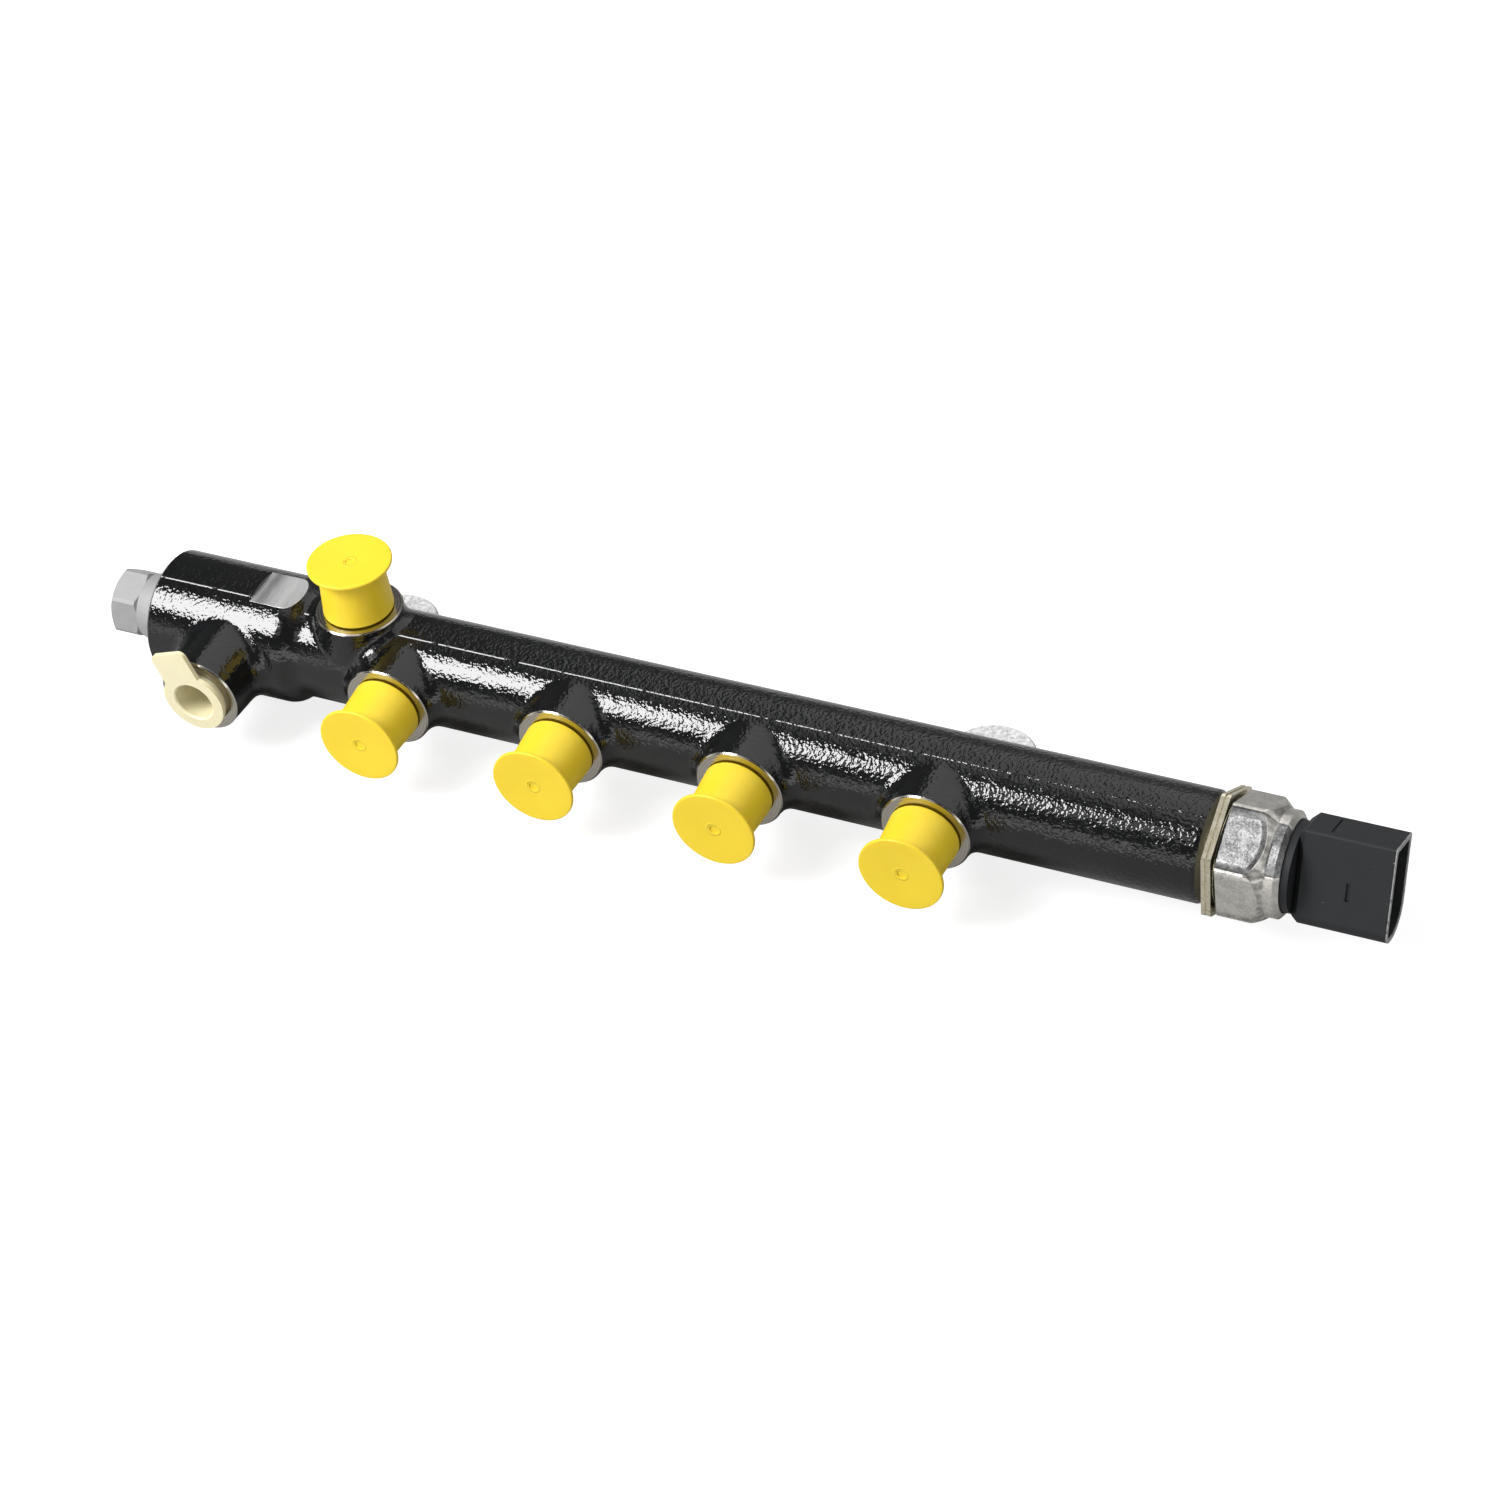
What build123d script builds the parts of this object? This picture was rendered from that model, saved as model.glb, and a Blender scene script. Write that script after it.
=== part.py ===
from build123d import *
import os
from math import radians, sqrt, tan

# Fuel rail of a four-cylinder diesel engine.
# Row frame: origin midway between the two bolt holes on the seat of the mounting lugs,
# +X along the rail towards the pressure sensor, +Z up the bolt holes and the inlet port,
# -Y the way the four outlet ports point. All sizes are in millimetres.

# Rail as a whole
outlet_count = 4
outlet_pitch = 48.0
lug_spacing = 164.0
lug_offset = 19.5  # from the rail's axis back to the bolt holes
lug_drop = 20.5  # from the rail's axis down to the lug seat
first_outlet_x = -63.5
inlet_reach = 14.1  # from the first outlet towards the head
head_reach = 69.9
tail_reach = 67.1  # from the last outlet to the sensor end

# Forged body
tube_radius = 13.5
head_radius = 16.1
head_to_inlet = 19.4  # from the end of the head to the inlet port
shoulder_length = 7.0
head_edge = 0.8
tail_chamfer_radial = 1.4
tail_chamfer_axial = 2.9
boss_radius = 11.4
boss_draft = 1.4
boss_height = 16.6
inlet_boss_radius = 11.1
inlet_boss_height = 15.6
boss_fillet = 4.0
inlet_fillet = 3.0
lug_fillet = 4.5
lug_sink = 0.8  # how far the lug's own foot lies under the tube's surface
boss_edge = 0.4
return_setback = 21.9  # from the head's face to the return port
return_boss_radius = 10.7
return_boss_height = 27.4
return_boss_draft = 1.2
head_flat_height = 15.0
head_flat_length = 8.9
lug_radius = 11.4
lug_height = 14.5
lug_edge = 0.6
bolt_hole_radius = 4.5

# Bores
main_bore_radius = 4.75
cross_bore_radius = 1.5
union_cone_radius = 4.4
union_cone_half_angle = 30.0

# Threaded unions under the caps
union_radius = 7.0
union_length = 13.0
union_relief_radius = 6.1
union_relief_length = 1.6
union_chamfer = 0.8

# Transport caps
cap_clearance = 0.1
cap_mouth_gap = 0.5
cap_mouth_radius = 8.9
cap_waist_radius = 8.15
cap_disc_radius = 10.65
cap_disc_rim = 1.0
cap_end_gap = 0.3
cap_roof = 1.5
cap_dish = 0.35
cap_fillet = 1.4
gate_radius = 1.1
gate_depth = 0.25

# Return port and its pull-tab plug
return_bore_radius = 6.25
return_bore_depth = 13.0
return_drill_radius = 2.5
return_chamfer = 0.8
plug_clearance = 0.1
plug_collar_radius = 7.6
plug_collar = 1.5
plug_flange_radius = 8.4
plug_flange = 1.2
plug_shank = 10.0
plug_recess_radius = 5.2
plug_recess_depth = 11.5
plug_recess_lead = 0.4
plug_tab_width = 10.6
plug_tab_reach = 15.1
plug_tab_angle = 20.0
plug_tab_corner = 1.8

# Relief valve in the head
valve_thread_radius = 9.0
valve_thread_length = 14.8
valve_land_radius = 8.4
valve_chamber_end = 31.4  # from the head's face to the foot of the valve seat's shoulder
thread_clearance = 0.05
valve_hex_flats = 16.0
valve_hex_length = 8.3
valve_hex_angle = 19.5
valve_hex_chamfer = 1.1
valve_neck_radius = 8.3
valve_collar_radius = 9.7
valve_collar_length = 7.8
valve_nose_radius = 6.6
valve_nose_length = 7.3
valve_bore_radius = 3.95
valve_bore_depth = 24.8
valve_vent_radius = 1.2
seat_flange = 2.35
seat_clearance = 0.02
seat_hole_radius = 1.1
seat_cone_depth = 1.6
seat_cone_half_angle = 30.0
shim_thickness = 1.2
piston_clearance = 0.05
piston_guide_length = 5.0
piston_neck_radius = 2.6
piston_neck_gap = 0.4
piston_neck_length = 3.4
piston_tip_reach = 0.2
piston_tail_radius = 1.2
piston_travel = 1.2
spring_wire_radius = 0.55
spring_coils = 6.5
o_ring_section_radius = 0.88
o_ring_clearance = 0.02
o_ring_groove_width = 2.3

# Pressure sensor
sensor_thread_depth = 15.6
sensor_nose_radius = 6.5
sensor_nose_length = 1.4
sensor_edge_radius = 7.4
sensor_edge_width = 0.6
sensor_plate_flats = 28.6
sensor_plate = 2.3
sensor_plate_angle = 86.5
sensor_plate_groove = 0.5
sensor_step_radius = 12.9
sensor_step = 0.8  # the step under the shell that keeps it off the plate
sensor_pressure_bore_radius = 1.6
pedestal_radius = 5.6
pedestal_height = 2.4
cell_radius = 4.2
cell_height = 2.6
cell_skin = 0.6
shell_flats = 27.0
shell_angle = 92.0
shell_corner_radius = 15.25
shell_wall = 1.2
shell_hex_length = 8.1
shell_bevel_length = 2.9
shell_neck_radius = 12.8
shell_neck_length = 2.2
crimp_length = 1.1
crimp_thickness = 0.8
crimp_roll = 1.4
crimp_radius = 11.1
carrier_inner_radius = 9.2
carrier_outer_radius = 11.9
carrier_height = 6.0
board_radius = 11.4
board_thickness = 1.0
seal_section_radius = 0.43
seal_clearance = 0.02

# Connector of the sensor
connector_angle = 21.0
connector_clearance = 0.1
connector_flange = 2.4
connector_base_radius = 10.9
connector_base_length = 1.8
housing_height = 24.2
housing_width = 12.0
housing_length = 22.9
housing_wall = 1.2
housing_round_front = 3.2
housing_round_back = 7.5
housing_edge = 0.7
housing_back_length = 1.5
housing_back_inset = 1.2
mouth_depth = 17.0
pin_count = 3
pin_pitch = 5.0
pin_width = 1.5
pin_thickness = 0.8
pin_reach = 10.0
mark_length = 4.6
mark_width = 1.0
mark_depth = 0.5
latch_length = 5.0
latch_width = 6.0
latch_height = 1.5
latch_inset = 6.0
mark_inset = 10.1
mark_drop = 0.9
slit_inset = 15.8
slit_length = 8.0
slit_width = 0.5
slit_depth = 0.4

# Places along the rail
outlet_xs = [first_outlet_x + i * outlet_pitch for i in range(outlet_count)]
inlet_x = first_outlet_x - inlet_reach
head_x = first_outlet_x - head_reach
return_x = head_x + return_setback
head_end_x = inlet_x - head_to_inlet
tail_x = outlet_xs[-1] + tail_reach
lug_xs = [-lug_spacing / 2, lug_spacing / 2]

# Heights above a boss's machined face, measured out along its port
cap_inside = union_length + cap_end_gap
cap_face = cap_inside + cap_roof
plug_flange_back = return_boss_height + plug_collar  # these two from the rail's axis
plug_face = plug_flange_back + plug_flange

# Places inside the relief valve
valve_cone = valve_land_radius - main_bore_radius
chamber_end_x = head_x + valve_chamber_end
seat_face_x = chamber_end_x - (valve_nose_radius - main_bore_radius) - seat_flange
nose_x = seat_face_x - valve_nose_length
valve_floor_x = seat_face_x - valve_bore_depth
hex_end_x = head_x - valve_collar_length
groove_floor_radius = valve_land_radius - 2 * (o_ring_section_radius + o_ring_clearance)
groove_x = (head_x + valve_thread_length + nose_x) / 2
shim_face_x = valve_floor_x + shim_thickness
piston_neck_x = seat_face_x - piston_neck_gap
guide_front_x = piston_neck_x - piston_neck_length
guide_back_x = guide_front_x - piston_guide_length

# Places inside the pressure sensor
sensor_floor_x = tail_x - sensor_thread_depth
plate_end_x = tail_x + sensor_plate + sensor_step
shell_bevel_x = plate_end_x + shell_hex_length
shell_neck_x = shell_bevel_x + shell_bevel_length
crimp_x = shell_neck_x + shell_neck_length
crimp_end_x = crimp_x + crimp_length
neck_bore_radius = shell_neck_radius - shell_wall
crimp_inner_x = crimp_end_x - crimp_thickness
seal_height = 2 * (seal_section_radius + seal_clearance)
flange_top_x = crimp_inner_x - seal_height
board_x = plate_end_x + carrier_height
housing_x = crimp_end_x + connector_base_length
mouth_x = housing_x + housing_length
mouth_floor_x = mouth_x - mouth_depth

FRONT = (0, -1, 0)
UP = (0, 0, 1)
TO_SEAT = Pos(0, -lug_offset, lug_drop)  # from the rail's axis to the row frame


def turned(points, rounds=()):
    """A solid turned about Z from (radius, height) points, with some corners rounded."""
    section = make_face(Polyline(*[(r, 0, h) for r, h in points], close=True))
    for radius, height, size in rounds:
        corner = section.vertices().sort_by_distance((radius, 0, height))[0]
        section = fillet(corner, size)
    return revolve(section, Axis.Z)


def hexagon(flats, height, angle):
    """A hexagonal bar on the XY plane, with a corner at the given angle."""
    return extrude(RegularPolygon(flats / sqrt(3), 6, rotation=angle), height)


def on_axis(x):
    """Place along the rail: local Z runs along +X and local X points back."""
    return Plane(origin=(x, 0, 0), x_dir=(0, 1, 0), z_dir=(1, 0, 0)).location


def outwards(x, direction):
    """Place of a port: local Z runs out of the rail and local X along it."""
    return Plane(origin=(x, 0, 0), x_dir=(1, 0, 0), z_dir=direction).location


def on_boss(x, direction):
    """Place on the machined face of a high-pressure port."""
    height = inlet_boss_height if direction == UP else boss_height
    return outwards(x, direction) * Pos(0, 0, height)


def forged_core():
    """Head, shoulder and tube, turned about the rail's axis in one profile."""
    tube_start = head_end_x + shoulder_length
    middle = ((head_end_x + tube_start) / 2, (head_radius + tube_radius) / 2)
    fall = TangentArc((head_end_x, head_radius), middle, tangent=(1, 0))
    rise = TangentArc(middle, (tube_start, tube_radius), tangent=fall % 1)
    straight = Polyline(
        (tube_start, tube_radius),
        (tail_x - tail_chamfer_axial, tube_radius),
        (tail_x, tube_radius - tail_chamfer_radial),
        (tail_x, 0),
        (head_x, 0),
        (head_x, head_radius - head_edge),
        (head_x + head_edge, head_radius),
        (head_end_x, head_radius),
    )
    return revolve(make_face(straight + fall + rise), Axis.X)


def boss(x, direction, radius, height, draft):
    """A forged boss with draft and a small chamfer round its machined face."""
    points = [
        (0, 0),
        (radius + draft, 0),
        (radius, height - boss_edge),
        (radius - boss_edge, height),
        (0, height),
    ]
    return outwards(x, direction) * turned(points)


def blended(body, added, radius):
    """The two joined, with a forged fillet along the seam."""
    joined = body + added
    return fillet(new_edges(body, added, combined=joined), radius)


def lug(x):
    """A mounting lug with its foot on the tube: an upright pad behind the rail."""
    pad = turned(
        [
            (0, 0),
            (lug_radius - lug_edge, 0),
            (lug_radius, lug_edge),
            (lug_radius, lug_height - lug_edge),
            (lug_radius - lug_edge, lug_height),
            (0, lug_height),
        ]
    )
    foot_half = lug_radius + 1.25 * lug_fillet
    foot = Rot(0, 0, 180) * Cylinder(tube_radius - lug_sink, 2 * foot_half)
    return blended(on_axis(x) * foot, Pos(x, lug_offset, -lug_drop) * pad, lug_fillet)


def head_flat():
    """What the milled datum flat takes off the top of the head, open to the shoulder."""
    length = head_flat_length + shoulder_length
    block = Box(length, 2 * head_radius, head_radius, align=(Align.MIN, Align.CENTER, Align.MIN))
    return Pos(head_end_x - head_flat_length, 0, head_flat_height) * block


def union_end_piece(x, direction):
    """The male threaded union of a high-pressure port."""
    points = [
        (0, -boss_edge),
        (union_relief_radius, -boss_edge),
        (union_relief_radius, union_relief_length),
        (union_radius, union_relief_length + union_chamfer),
        (union_radius, union_length - union_chamfer),
        (union_radius - union_chamfer, union_length),
        (0, union_length),
    ]
    return on_boss(x, direction) * turned(points)


def union_bore(x, direction):
    """The sealing cone and the cross drilling down to the main bore."""
    cone_depth = (union_cone_radius - cross_bore_radius) / tan(radians(union_cone_half_angle))
    axis_depth = inlet_boss_height if direction == UP else boss_height
    points = [
        (0, -axis_depth),
        (cross_bore_radius, -axis_depth),
        (cross_bore_radius, union_length - cone_depth),
        (union_cone_radius, union_length),
        (0, union_length),
    ]
    return on_boss(x, direction) * turned(points)


def rail_bore():
    """Main bore, the relief valve's chamber in the head and the sensor's seat."""
    thread_end = head_x + valve_thread_length
    sensor_cone = sensor_nose_radius - main_bore_radius
    points = [
        (0, head_x),
        (valve_thread_radius, head_x),
        (valve_thread_radius, thread_end),
        (valve_land_radius, thread_end),
        (valve_land_radius, chamber_end_x - valve_cone),
        (main_bore_radius, chamber_end_x),
        (main_bore_radius, sensor_floor_x - sensor_cone),
        (sensor_nose_radius, sensor_floor_x),
        (valve_thread_radius, sensor_floor_x),
        (valve_thread_radius, tail_x),
        (0, tail_x),
    ]
    return on_axis(0) * turned(points)


def return_bore():
    """The low-pressure return port, drilled through into the valve's chamber."""
    floor = return_boss_height - return_bore_depth
    points = [
        (0, 0),
        (return_drill_radius, 0),
        (return_drill_radius, floor),
        (return_bore_radius, floor),
        (return_bore_radius, return_boss_height - return_chamfer),
        (return_bore_radius + return_chamfer, return_boss_height),
        (0, return_boss_height),
    ]
    return outwards(return_x, FRONT) * turned(points)


def rail_body():
    """The forged and machined body, one solid."""
    ports = [(x, FRONT) for x in outlet_xs] + [(inlet_x, UP)]
    return_boss = boss(
        return_x, FRONT, return_boss_radius, return_boss_height, return_boss_draft
    )
    body = blended(forged_core(), return_boss, boss_fillet)
    for x in outlet_xs:
        body = blended(body, boss(x, FRONT, boss_radius, boss_height, boss_draft), boss_fillet)
    inlet_boss = boss(inlet_x, UP, inlet_boss_radius, inlet_boss_height, boss_draft)
    body = blended(body, inlet_boss, inlet_fillet)
    for x in reversed(lug_xs):
        body = body + lug(x)
    body = body - head_flat()
    for x, direction in ports:
        body = body + union_end_piece(x, direction)
    body = body - rail_bore() - return_bore()
    for x, direction in ports:
        body = body - union_bore(x, direction)
    for x in lug_xs:
        body = body - Pos(x, lug_offset, -lug_drop) * Cylinder(bolt_hole_radius, 4 * lug_height)
    return body


def transport_cap(x, direction):
    """A moulded push-on cap: a tapered cup under a thin dished disc with its gate mark."""
    disc = cap_face - cap_disc_rim
    bore = union_radius + cap_clearance
    centre = cap_face - cap_dish
    points = [
        (0, cap_inside),
        (bore, cap_inside),
        (bore, cap_mouth_gap),
        (cap_mouth_radius, cap_mouth_gap),
        (cap_waist_radius, disc),
        (cap_disc_radius, disc),
        (cap_disc_radius, cap_face),
        (cap_disc_radius - cap_disc_rim, cap_face),
        (gate_radius, centre),
        (gate_radius, centre - gate_depth),
        (0, centre - gate_depth),
    ]
    rounds = [
        (cap_waist_radius, disc, cap_fillet),
        (cap_disc_radius, disc, cap_disc_rim / 3),
        (cap_disc_radius, cap_face, cap_disc_rim / 3),
    ]
    return on_boss(x, direction) * turned(points, rounds)


def return_port_plug():
    """The moulded plug of the return port: hollow shank, collar, thin flange and pull tab."""
    shank_radius = return_bore_radius - plug_clearance
    recess_floor = plug_face - plug_recess_depth
    points = [
        (0, return_boss_height - plug_shank),
        (shank_radius, return_boss_height - plug_shank),
        (shank_radius, return_boss_height),
        (plug_collar_radius, return_boss_height),
        (plug_collar_radius, plug_face),
        (0, plug_face),
    ]
    outline = Pos(0, plug_tab_reach / 2) * Rectangle(plug_tab_width, plug_tab_reach)
    outline = fillet(outline.vertices().sort_by(Axis.Y)[-2:], plug_tab_corner)
    flat_part = Circle(plug_flange_radius) + Rot(0, 0, plug_tab_angle) * outline
    flange = Pos(0, 0, plug_flange_back) * extrude(flat_part, plug_flange)
    recess = turned(
        [
            (0, recess_floor),
            (plug_recess_radius, recess_floor),
            (plug_recess_radius, plug_face - plug_recess_lead),
            (plug_recess_radius + plug_recess_lead, plug_face),
            (0, plug_face),
        ]
    )
    return outwards(return_x, FRONT) * (turned(points) + flange - recess)


def relief_valve_body():
    """The screwed valve body: hexagon, collar, thread, O-ring groove and vented nose."""
    thread = valve_thread_radius - thread_clearance
    land = valve_land_radius - thread_clearance
    thread_end = head_x + valve_thread_length
    half_groove = o_ring_groove_width / 2
    points = [
        (0, hex_end_x - valve_hex_chamfer / 2),
        (valve_neck_radius - valve_hex_chamfer, hex_end_x - valve_hex_chamfer / 2),
        (valve_neck_radius, hex_end_x),
        (valve_collar_radius, head_x - valve_collar_length / 3),
        (valve_collar_radius, head_x),
        (thread, head_x),
        (thread, thread_end - valve_hex_chamfer),
        (land, thread_end),
        (land, groove_x - half_groove),
        (groove_floor_radius, groove_x - half_groove),
        (groove_floor_radius, groove_x + half_groove),
        (land, groove_x + half_groove),
        (land, nose_x),
        (valve_nose_radius, nose_x),
        (valve_nose_radius, seat_face_x),
        (valve_bore_radius, seat_face_x),
        (valve_bore_radius, valve_floor_x),
        (0, valve_floor_x),
    ]
    corner = valve_hex_flats / sqrt(3)
    hex_start_x = hex_end_x - valve_hex_length
    envelope = turned(
        [
            (0, hex_start_x),
            (corner - 2 * valve_hex_chamfer, hex_start_x),
            (corner - valve_hex_chamfer / 4, hex_start_x + valve_hex_chamfer),
            (corner - valve_hex_chamfer / 4, hex_end_x - valve_hex_chamfer / 2),
            (corner - valve_hex_chamfer, hex_end_x),
            (0, hex_end_x),
        ]
    )
    drive = Pos(0, 0, hex_start_x) * hexagon(valve_hex_flats, valve_hex_length, valve_hex_angle)
    body = turned(points) + (drive & envelope)
    vent_x = (guide_front_x + piston_neck_x) / 2
    vent = Pos(0, 0, vent_x) * Rot(90, 0, 0) * Cylinder(valve_vent_radius, 3 * valve_nose_radius)
    return on_axis(0) * (body - vent)


def relief_valve_o_ring():
    """The ring that keeps returned fuel out of the thread."""
    centre = valve_land_radius - o_ring_section_radius - o_ring_clearance
    return on_axis(groove_x) * Torus(centre, o_ring_section_radius)


def seat_cone_radius(x):
    """Radius of the valve's sealing cone at a place along the rail."""
    mouth = seat_face_x + seat_cone_depth
    return seat_hole_radius + (mouth - x) * tan(radians(seat_cone_half_angle))


def relief_valve_seat():
    """The hardened seat that the body presses onto the cone at the end of the main bore."""
    cone_start = seat_face_x + seat_flange - seat_clearance
    end_radius = main_bore_radius + seat_flange / 10
    cone_end = cone_start + valve_nose_radius - end_radius
    points = [
        (seat_cone_radius(seat_face_x), seat_face_x),
        (valve_nose_radius, seat_face_x),
        (valve_nose_radius, cone_start),
        (end_radius, cone_end),
        (seat_hole_radius, cone_end),
        (seat_hole_radius, seat_face_x + seat_cone_depth),
    ]
    return on_axis(0) * turned(points)


def relief_valve_piston():
    """The conical valve piston with its guide and the tail that stops its travel."""
    tip_x = seat_face_x + seat_cone_depth + piston_tip_reach
    guide = valve_bore_radius - piston_clearance
    stop_x = shim_face_x + piston_travel
    points = [
        (0, tip_x),
        (seat_cone_radius(tip_x) - piston_clearance, tip_x),
        (seat_cone_radius(seat_face_x) - piston_clearance, seat_face_x),
        (seat_cone_radius(seat_face_x) - piston_clearance, piston_neck_x),
        (piston_neck_radius, piston_neck_x),
        (piston_neck_radius, guide_front_x),
        (guide, guide_front_x),
        (guide, guide_back_x),
        (piston_tail_radius, guide_back_x),
        (piston_tail_radius, stop_x),
        (0, stop_x),
    ]
    return on_axis(0) * turned(points)


def relief_valve_spring():
    """The coil spring between the shim and the piston's guide."""
    length = guide_back_x - shim_face_x - 2 * spring_wire_radius
    coil_radius = (valve_bore_radius + piston_tail_radius) / 2
    path = Helix(length / spring_coils, length, coil_radius)
    wire = sweep((path ^ 0) * Circle(spring_wire_radius), path=path)
    return on_axis(shim_face_x + spring_wire_radius) * wire


def relief_valve_shim():
    """The disc at the bottom of the bore that sets the spring's load."""
    disc = Cylinder(
        valve_bore_radius - piston_clearance, shim_thickness, align=(Align.CENTER, Align.CENTER, Align.MIN)
    )
    return on_axis(valve_floor_x) * disc


def sensor_port():
    """The sensor's pressure port: sealing edge, threaded stem, grooved hexagon, pedestal."""
    stem = valve_thread_radius - thread_clearance
    nose_x = sensor_floor_x + sensor_nose_length
    points = [
        (sensor_pressure_bore_radius, nose_x),
        (sensor_edge_radius - sensor_edge_width, nose_x),
        (sensor_edge_radius, sensor_floor_x),
        (sensor_edge_radius + sensor_edge_width, nose_x),
        (stem, nose_x + sensor_edge_width),
        (stem, tail_x + sensor_plate / 2),
        (sensor_step_radius, tail_x + sensor_plate / 2),
        (sensor_step_radius, plate_end_x),
        (pedestal_radius, plate_end_x),
        (pedestal_radius, plate_end_x + pedestal_height),
        (sensor_pressure_bore_radius, plate_end_x + pedestal_height),
    ]
    groove_flats = sensor_plate_flats - 2 * sensor_plate_groove
    layer = (sensor_plate - sensor_plate_groove) / 2
    core = hexagon(groove_flats, sensor_plate, sensor_plate_angle)
    rim = hexagon(sensor_plate_flats, layer, sensor_plate_angle)
    plate = core + rim + Pos(0, 0, sensor_plate - layer) * rim
    plate = plate & Cylinder(sensor_plate_flats / sqrt(3) - sensor_plate_groove / 2, 4 * sensor_plate)
    plate = Pos(0, 0, tail_x) * (plate - Cylinder(sensor_pressure_bore_radius, 4 * sensor_plate))
    return on_axis(0) * (turned(points) + plate)


def sensor_pressure_cell():
    """The welded steel cell whose thin face bends with the fuel's pressure."""
    base = plate_end_x + pedestal_height
    points = [
        (sensor_pressure_bore_radius, base),
        (cell_radius, base),
        (cell_radius, base + cell_height),
        (0, base + cell_height),
        (0, base + cell_height - cell_skin),
        (sensor_pressure_bore_radius, base + cell_height - cell_skin),
    ]
    return on_axis(0) * turned(points)


def shell_envelope(inset):
    """The turned outline of the drawn shell, or of its inside at an inset of one wall."""
    return [
        (0, plate_end_x),
        (shell_corner_radius - inset, plate_end_x),
        (shell_corner_radius - inset, shell_bevel_x - inset / 2),
        (shell_neck_radius - inset, shell_neck_x - inset / 2),
    ]


def sensor_shell():
    """The drawn hexagonal shell, its round neck and the crimp over the connector."""
    outside = shell_envelope(0) + [
        (shell_neck_radius, crimp_x),
        (shell_neck_radius - crimp_roll, crimp_end_x),
        (0, crimp_end_x),
    ]
    rounds = [
        (shell_corner_radius, shell_bevel_x, shell_bevel_length / 2),
        (shell_neck_radius, shell_neck_x, shell_bevel_length / 3),
    ]
    inside = shell_envelope(shell_wall) + [
        (neck_bore_radius, crimp_inner_x),
        (0, crimp_inner_x),
    ]
    length = crimp_end_x - plate_end_x
    inner_flats = shell_flats - 2 * shell_wall
    blank = Pos(0, 0, plate_end_x) * hexagon(shell_flats, length, shell_angle)
    core = Pos(0, 0, plate_end_x) * hexagon(inner_flats, length, shell_angle)
    shell = (blank & turned(outside, rounds)) - (core & turned(inside))
    shell = shell - Pos(0, 0, crimp_end_x) * Cylinder(crimp_radius, 2 * crimp_length)
    return on_axis(0) * shell


def sensor_board_carrier():
    """The plastic ring that holds the circuit board above the cell."""
    ring = Cylinder(carrier_outer_radius, carrier_height) - Cylinder(carrier_inner_radius, carrier_height)
    return on_axis(plate_end_x + carrier_height / 2) * ring


def sensor_circuit_board():
    """The round circuit board."""
    board = Cylinder(board_radius, board_thickness, align=(Align.CENTER, Align.CENTER, Align.MIN))
    return on_axis(board_x) * board


def sensor_seal_ring():
    """The ring between the connector's flange and the crimp."""
    centre = neck_bore_radius - seal_section_radius - seal_clearance
    return on_axis(flange_top_x + seal_height / 2) * Torus(centre, seal_section_radius)


def connector_place(x):
    """Place across the connector: local Y runs up the housing, local X to its back."""
    return on_axis(x) * Rot(0, 0, -connector_angle)


def housing_outline(inset):
    """The housing's outline, or that of its mouth at an inset of one wall."""
    outline = Rectangle(housing_width - 2 * inset, housing_height - 2 * inset)
    corners = outline.vertices().sort_by(Axis.Y)
    front, back = corners[:2].sort_by(Axis.X)
    outline = fillet(front, housing_round_front - inset)
    outline = fillet(outline.vertices().sort_by_distance(back)[0], housing_round_back - inset)
    return fillet(outline.vertices().sort_by(Axis.Y)[-2:], housing_edge)


def contact_pin(i):
    """A contact blade, from the circuit board into the connector's mouth."""
    start = board_x + board_thickness
    end = mouth_floor_x + pin_reach
    place = (i - (pin_count - 1) / 2) * pin_pitch
    blade = Box(pin_thickness, pin_width, end - start, align=(Align.CENTER, Align.CENTER, Align.MIN))
    tip = blade.faces().sort_by(Axis.Z)[-1].edges()
    blade = chamfer(tip, pin_thickness / 4)
    return connector_place(start) * Pos(0, place, 0) * blade


def sensor_connector():
    """The moulded connector: captured flange, round base and open plug housing with its latch."""
    flange = neck_bore_radius - connector_clearance
    waist = neck_bore_radius - seal_height - connector_clearance
    points = [
        (0, flange_top_x - connector_flange),
        (flange, flange_top_x - connector_flange),
        (flange, flange_top_x),
        (waist, flange_top_x),
        (waist, crimp_end_x),
        (connector_base_radius, crimp_end_x),
        (connector_base_radius, housing_x),
        (0, housing_x),
    ]
    body = on_axis(0) * turned(points)
    slope_end = Pos(0, 0, housing_back_length)
    slope = loft([housing_outline(housing_back_inset), slope_end * housing_outline(0)], ruled=True)
    housing = extrude(housing_outline(0), housing_length - housing_back_length)
    body = body + connector_place(housing_x) * (slope + slope_end * housing)
    body = body - connector_place(mouth_floor_x) * extrude(housing_outline(housing_wall), 2 * mouth_depth)
    ramp = Polyline(
        (0, 0), (latch_length, 0), (latch_length - latch_height / 2, latch_height), close=True
    )
    latch = extrude(make_face(ramp), latch_width / 2, both=True)
    stand = Plane(origin=(housing_width / 2, 0, 0), x_dir=(0, 0, -1), z_dir=(0, -1, 0))
    body = body + connector_place(mouth_x - latch_inset) * stand.location * latch
    mark = Box(2 * mark_depth, mark_length, mark_width)
    body = body - connector_place(mouth_x - mark_inset) * Pos(-housing_width / 2, -mark_drop, 0) * mark
    slit = Box(slit_length, 2 * slit_depth, slit_width)
    body = body - connector_place(mouth_x - slit_inset) * Pos(0, housing_height / 2, 0) * slit
    for i in range(pin_count):
        body = body - contact_pin(i)
    return body


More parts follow.
